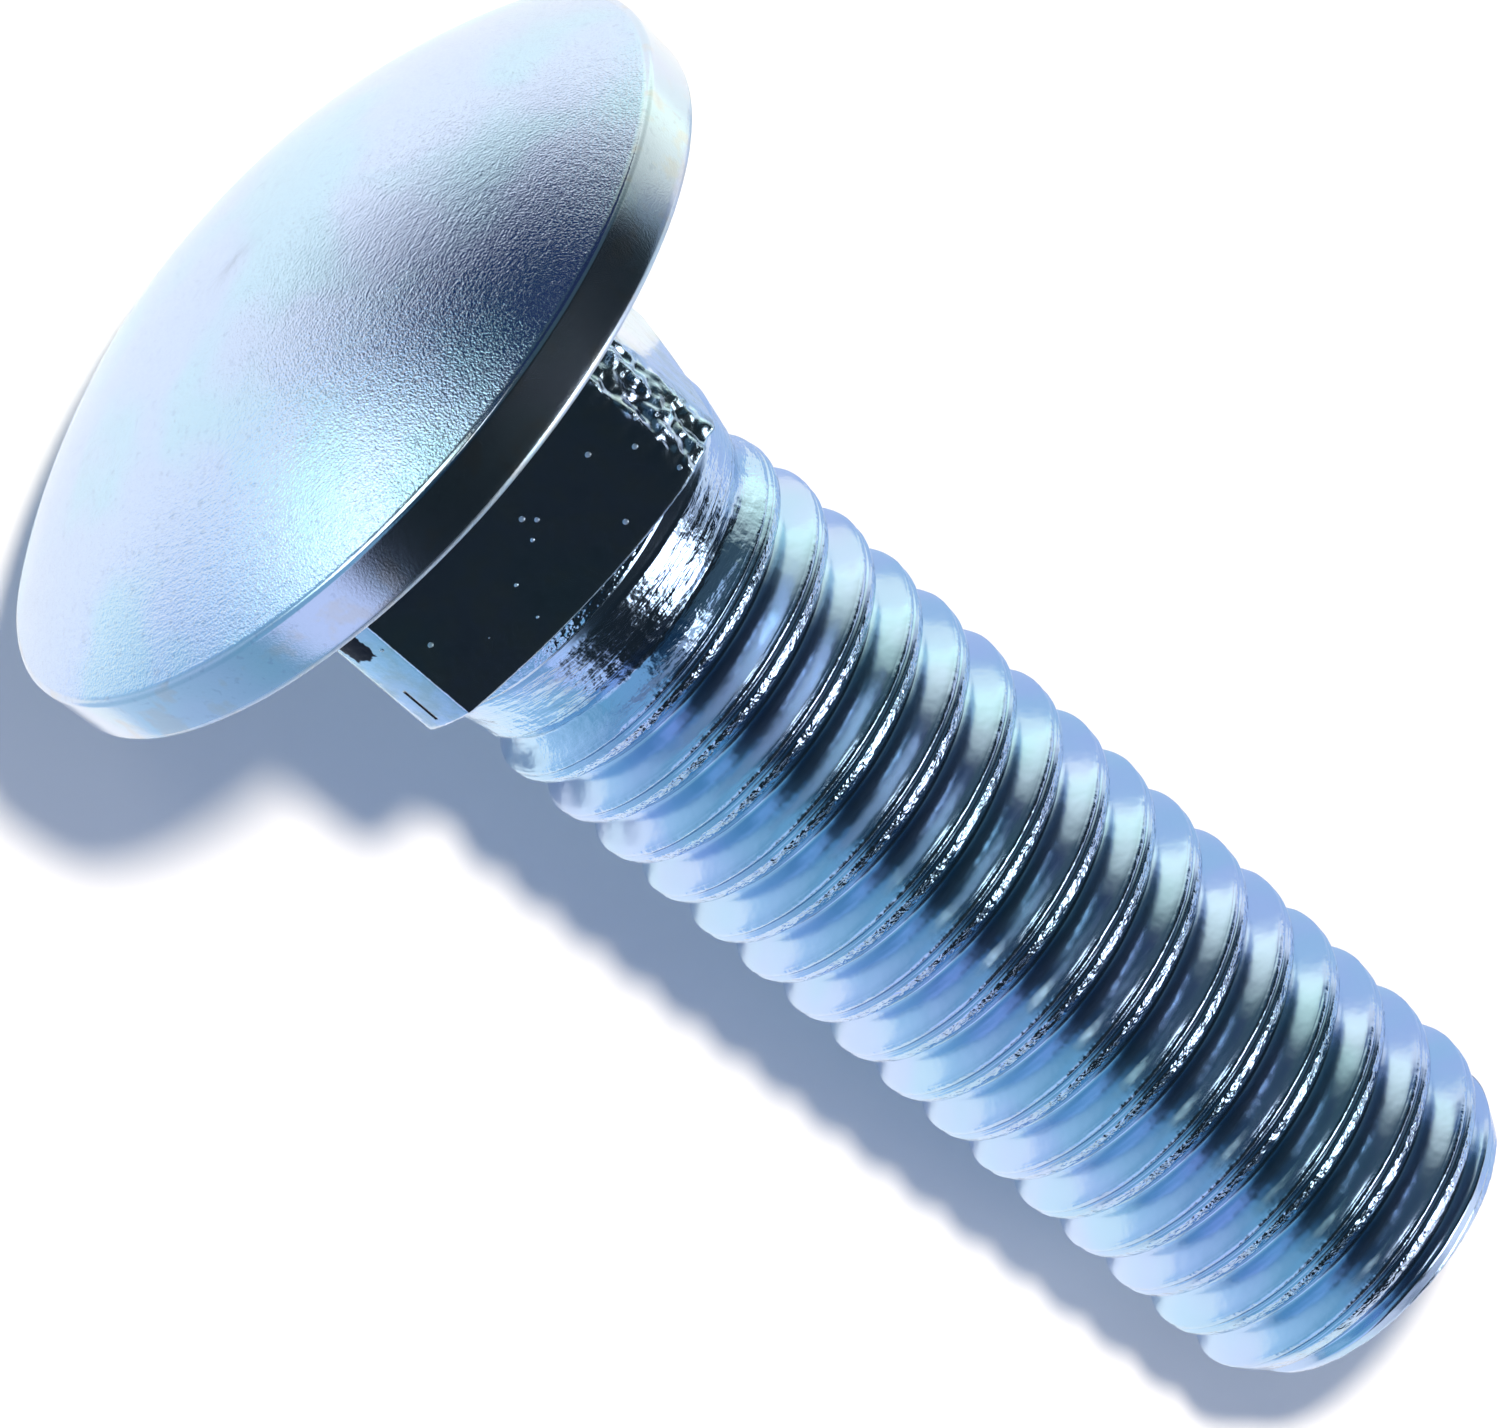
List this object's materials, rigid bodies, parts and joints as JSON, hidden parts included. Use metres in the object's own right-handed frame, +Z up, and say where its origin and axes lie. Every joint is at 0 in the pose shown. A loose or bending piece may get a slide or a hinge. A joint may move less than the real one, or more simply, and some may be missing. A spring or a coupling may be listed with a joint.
{
  "type": "carriage bolt",
  "caption": "Round-head carriage bolt with a square neck and a coarse right-hand thread, in bright zinc-plated steel, lying at rest.",
  "frame": {"origin": "on the floor, under the middle of the lying bolt's bounding box", "axes": "+Z up; the bolt lies along X with its tip towards +X, its axis sloping down to the tip because it rests on the rim of its head and on its last thread"},
  "size_m": [0.0444, 0.0238, 0.0236],
  "materials": {
    "zinc_plated_steel": "bright zinc plate with a faint blue tint, fine specks and drawn streaks on the head"
  },
  "bodies": {
    "root": {"carriage_bolt": "zinc_plated_steel"}
  },
  "joints": []
}
